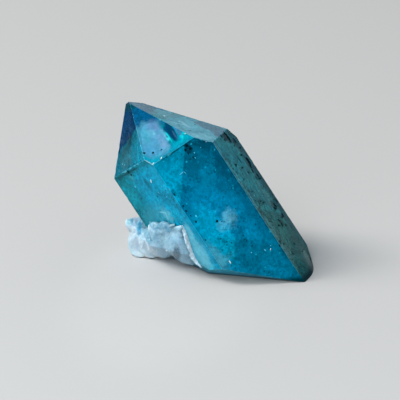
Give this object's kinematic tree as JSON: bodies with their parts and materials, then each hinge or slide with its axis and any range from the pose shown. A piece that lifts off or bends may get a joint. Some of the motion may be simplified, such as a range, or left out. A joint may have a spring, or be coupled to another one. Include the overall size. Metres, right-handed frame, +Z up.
{
  "type": "aqua aura quartz point on druse",
  "caption": "Clear blue six-sided quartz point with a pyramid tip, leaning out of a lump of milky druse that it stands on.",
  "frame": {"origin": "middle of the footprint box, on the surface that the piece stands on", "axes": "+Z up; +X along the longest side, from the druse and the tip towards the heel of the base; the broad prism face looks towards -Y"},
  "size_m": [0.0396, 0.0284, 0.0315],
  "materials": {
    "blue_quartz": "clear blue crystal with cloudy veils, bright faces, faint growth lines",
    "milky_quartz": "milky white sugary druse, faintly blue, slightly translucent"
  },
  "bodies": {
    "root": {"quartz_point": "blue_quartz", "milky_druse": "milky_quartz"}
  },
  "joints": []
}
